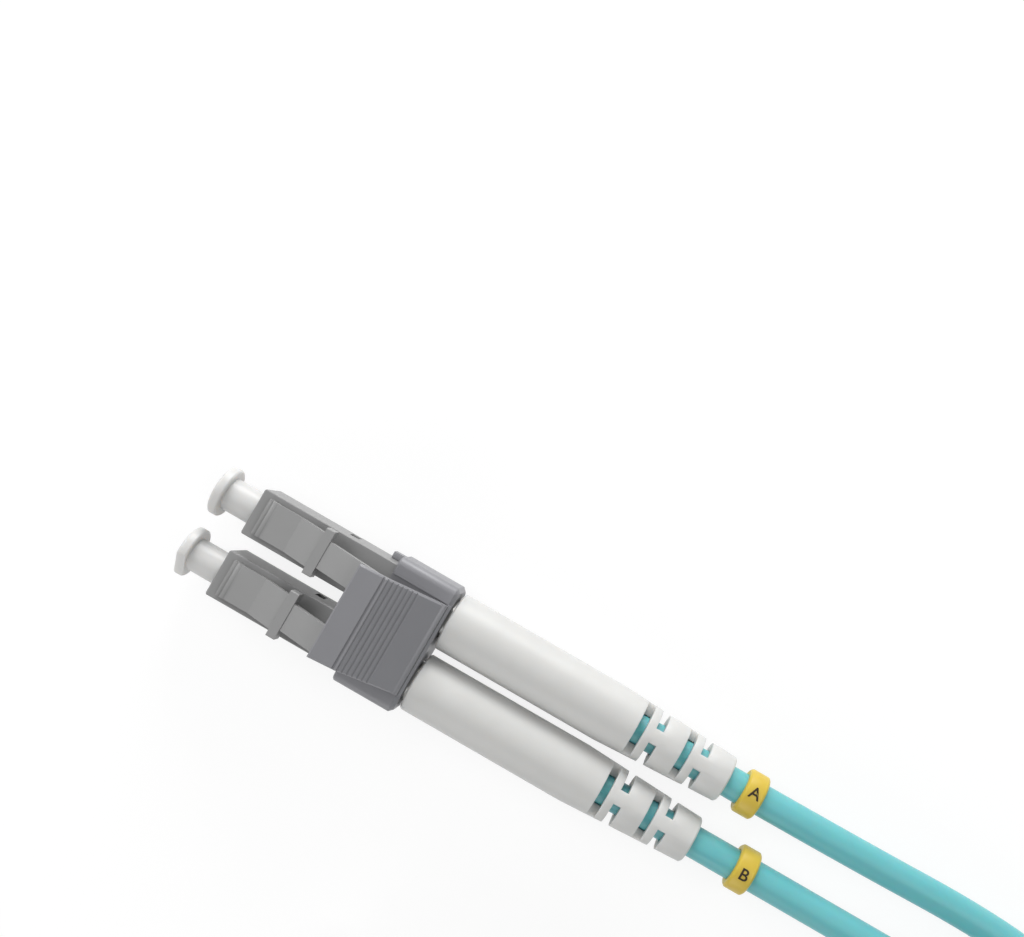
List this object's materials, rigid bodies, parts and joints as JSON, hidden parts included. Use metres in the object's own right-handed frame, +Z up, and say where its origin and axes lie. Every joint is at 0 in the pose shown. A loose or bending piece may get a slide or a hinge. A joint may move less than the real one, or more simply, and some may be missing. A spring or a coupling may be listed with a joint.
{
  "type": "lc fibre connector",
  "caption": "Duplex LC fibre connector: square plugs with latch arms in a clip with a trigger, dust caps, slotted boots, marker rings and jacketed cables coiled to a far connector.",
  "frame": {"origin": "centre of the clip's flat underside, midway between its front and rear faces, on the surface the connector stands on", "axes": "+X is the way the plugs go into a port, +Y from channel A to channel B, +Z up, the side that the latch arms and the trigger are on"},
  "size_m": [0.1216, 0.0445, 0.0126],
  "materials": {
    "clip": "fine satin moulded plastic, dark bluish grey",
    "housing": "satin moulded plastic, mid grey",
    "white_cap": "translucent-looking soft white plastic",
    "boot": "soft white moulded plastic",
    "ceramic": "polished white zirconia ceramic",
    "metal": "plain drawn steel",
    "yarn": "yellow aramid fibres",
    "jacket": "smooth aqua cable jacket",
    "ring": "satin yellow plastic",
    "tie": "black hook and loop strap"
  },
  "bodies": {
    "root": {"duplex_clip": "clip", "plug_housing_a": "housing", "plug_housing_b": "housing", "ferrule_spring_a": "metal", "ferrule_spring_b": "metal", "rear_body_a": "housing", "rear_body_b": "housing", "aramid_yarn_a": "yarn", "aramid_yarn_b": "yarn", "crimp_sleeve_a": "metal", "crimp_sleeve_b": "metal", "cable_end_a": "jacket", "cable_end_b": "jacket", "boot_a": "boot", "boot_b": "boot", "marker_ring_a": "ring", "marker_ring_b": "ring", "cable_a": "jacket", "cable_b": "jacket", "cable_coil": "jacket", "coil_tie": "tie", "far_clip": "clip", "far_plug_a": "housing", "far_plug_b": "housing", "far_boot_a": "boot", "far_boot_b": "boot", "far_marker_ring_a": "ring", "far_marker_ring_b": "ring", "far_cable_a": "jacket", "far_cable_b": "jacket"},
    "trigger": {"trigger": "clip"},
    "latch_a": {"latch_arm_a": "housing"},
    "cap_a": {"dust_cap_a": "white_cap"},
    "ferrule_a": {"ferrule_a": "ceramic", "ferrule_flange_a": "metal"},
    "latch_b": {"latch_arm_b": "housing"},
    "cap_b": {"dust_cap_b": "white_cap"},
    "ferrule_b": {"ferrule_b": "ceramic", "ferrule_flange_b": "metal"},
    "far_trigger": {"far_trigger": "clip"},
    "far_latch_a": {"far_latch_arm_a": "housing"},
    "far_cap_a": {"far_dust_cap_a": "white_cap"},
    "far_latch_b": {"far_latch_arm_b": "housing"},
    "far_cap_b": {"far_dust_cap_b": "white_cap"}
  },
  "joints": [
    {"name": "trigger_press", "type": "hinge", "parent": "root", "child": "trigger", "pos_m": [-0.00232, 0, 0.00665], "axis": [0, 1, 0], "range_deg": [0, 8], "stiffness_Nm_per_rad": 0.02},
    {"name": "latch_bend_a", "type": "hinge", "parent": "root", "child": "latch_a", "pos_m": [0.01503, -0.00313, 0.00607], "axis": [0, 1, 0], "range_deg": [-4.4, 0], "stiffness_Nm_per_rad": 0.01},
    {"name": "cap_pull_a", "type": "slide", "parent": "root", "child": "cap_a", "axis": [1, 0, 0], "range_m": [0, 0.008]},
    {"name": "ferrule_press_a", "type": "slide", "parent": "root", "child": "ferrule_a", "axis": [-1, 0, 0], "range_m": [0, 0.0008], "stiffness_N_per_m": 1000, "springref_m": -0.0035, "deforming": ["ferrule_spring_a"]},
    {"name": "latch_bend_b", "type": "hinge", "parent": "root", "child": "latch_b", "pos_m": [0.01503, 0.00313, 0.00607], "axis": [0, 1, 0], "range_deg": [-4.4, 0], "stiffness_Nm_per_rad": 0.01},
    {"name": "cap_pull_b", "type": "slide", "parent": "root", "child": "cap_b", "axis": [1, 0, 0], "range_m": [0, 0.008]},
    {"name": "ferrule_press_b", "type": "slide", "parent": "root", "child": "ferrule_b", "axis": [-1, 0, 0], "range_m": [0, 0.0008], "stiffness_N_per_m": 1000, "springref_m": -0.0035, "deforming": ["ferrule_spring_b"]},
    {"name": "far_trigger_press", "type": "hinge", "parent": "root", "child": "far_trigger", "pos_m": [-0.03293, 0.0319, 0.00665], "axis": [0, 1, 0], "range_deg": [0, 8], "stiffness_Nm_per_rad": 0.02},
    {"name": "far_latch_bend_a", "type": "hinge", "parent": "root", "child": "far_latch_a", "pos_m": [-0.01558, 0.02877, 0.00607], "axis": [0, 1, 0], "range_deg": [-4.4, 0], "stiffness_Nm_per_rad": 0.01},
    {"name": "far_cap_pull_a", "type": "slide", "parent": "root", "child": "far_cap_a", "axis": [1, 0, 0], "range_m": [0, 0.008]},
    {"name": "far_latch_bend_b", "type": "hinge", "parent": "root", "child": "far_latch_b", "pos_m": [-0.01558, 0.03503, 0.00607], "axis": [0, 1, 0], "range_deg": [-4.4, 0], "stiffness_Nm_per_rad": 0.01},
    {"name": "far_cap_pull_b", "type": "slide", "parent": "root", "child": "far_cap_b", "axis": [1, 0, 0], "range_m": [0, 0.008]}
  ],
  "couplings": [
    {"joint": "latch_bend_a", "follows": "trigger_press", "ratio": -0.55},
    {"joint": "latch_bend_b", "follows": "trigger_press", "ratio": -0.55},
    {"joint": "far_latch_bend_a", "follows": "far_trigger_press", "ratio": -0.55},
    {"joint": "far_latch_bend_b", "follows": "far_trigger_press", "ratio": -0.55}
  ]
}
